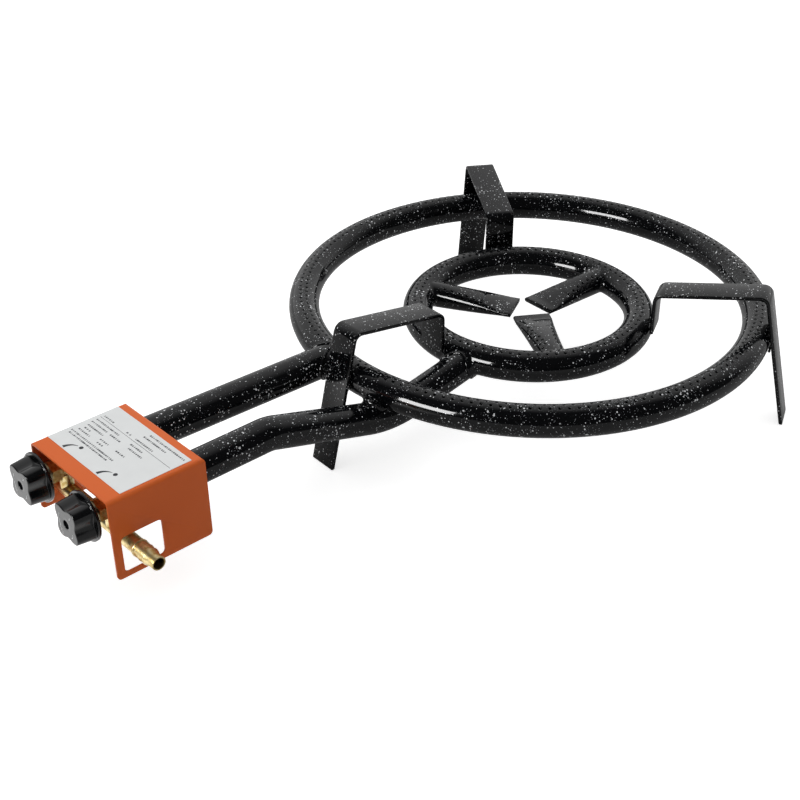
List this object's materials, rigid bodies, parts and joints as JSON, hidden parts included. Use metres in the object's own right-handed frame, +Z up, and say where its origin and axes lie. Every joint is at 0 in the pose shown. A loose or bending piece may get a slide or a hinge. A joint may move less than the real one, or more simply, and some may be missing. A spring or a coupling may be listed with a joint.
{
  "type": "paella burner",
  "caption": "Gas burner for paella pans: drilled outer and inner rings on welded pan supports, with long supply tubes, push-and-turn taps, a sheet cover and a hose nozzle.",
  "frame": {"origin": "on the floor, under the middle of the whole burner's box", "axes": "+Z up, +Y from the knobs towards the rings, +X to the right seen from the knobs"},
  "size_m": [0.4004, 0.6538, 0.111],
  "materials": {
    "black_enamel": "glossy black vitreous enamel with small white flecks",
    "orange_paint": "satin orange powder paint",
    "brass": "machined, plain",
    "steel": "zinc plated",
    "knob_plastic": "glossy black with white index marks",
    "label_film": "white printed film, without text"
  },
  "bodies": {
    "burner": {"outer_ring": "black_enamel", "inner_ring": "black_enamel", "stub_tube_right": "black_enamel", "stub_tube_back": "black_enamel", "stub_tube_left": "black_enamel", "pan_support_front": "black_enamel", "pan_support_right": "black_enamel", "pan_support_left": "black_enamel", "outer_supply_tube": "black_enamel", "inner_supply_tube": "black_enamel", "cover_bracket": "black_enamel", "cover": "orange_paint", "rating_label": "label_film", "cover_screw_left": "steel", "cover_screw_right": "steel", "gas_rail": "brass", "rail_end_plug": "brass", "hose_nozzle": "brass", "left_tube_bush": "steel", "left_injector": "brass", "left_tap_body": "brass", "left_tap_bonnet": "brass", "right_tube_bush": "steel", "right_injector": "brass", "right_tap_body": "brass", "right_tap_bonnet": "brass"},
    "left_plug": {"left_tap_plug": "brass"},
    "left_control": {"left_tap_spindle": "steel", "left_knob": "knob_plastic"},
    "right_plug": {"right_tap_plug": "brass"},
    "right_control": {"right_tap_spindle": "steel", "right_knob": "knob_plastic"}
  },
  "joints": [
    {"name": "left_tap_turn", "type": "hinge", "parent": "burner", "child": "left_plug", "pos_m": [-0.03682, -0.29, 0.0785], "axis": [0, -1, 0], "range_deg": [0, 90]},
    {"name": "left_knob_push", "type": "slide", "parent": "left_plug", "child": "left_control", "axis": [0, 1, 0], "range_m": [0, 0.002], "stiffness_N_per_m": 800, "springref_m": -0.006},
    {"name": "right_tap_turn", "type": "hinge", "parent": "burner", "child": "right_plug", "pos_m": [0.02118, -0.29, 0.0785], "axis": [0, -1, 0], "range_deg": [0, 90]},
    {"name": "right_knob_push", "type": "slide", "parent": "right_plug", "child": "right_control", "axis": [0, 1, 0], "range_m": [0, 0.002], "stiffness_N_per_m": 800, "springref_m": -0.006}
  ]
}
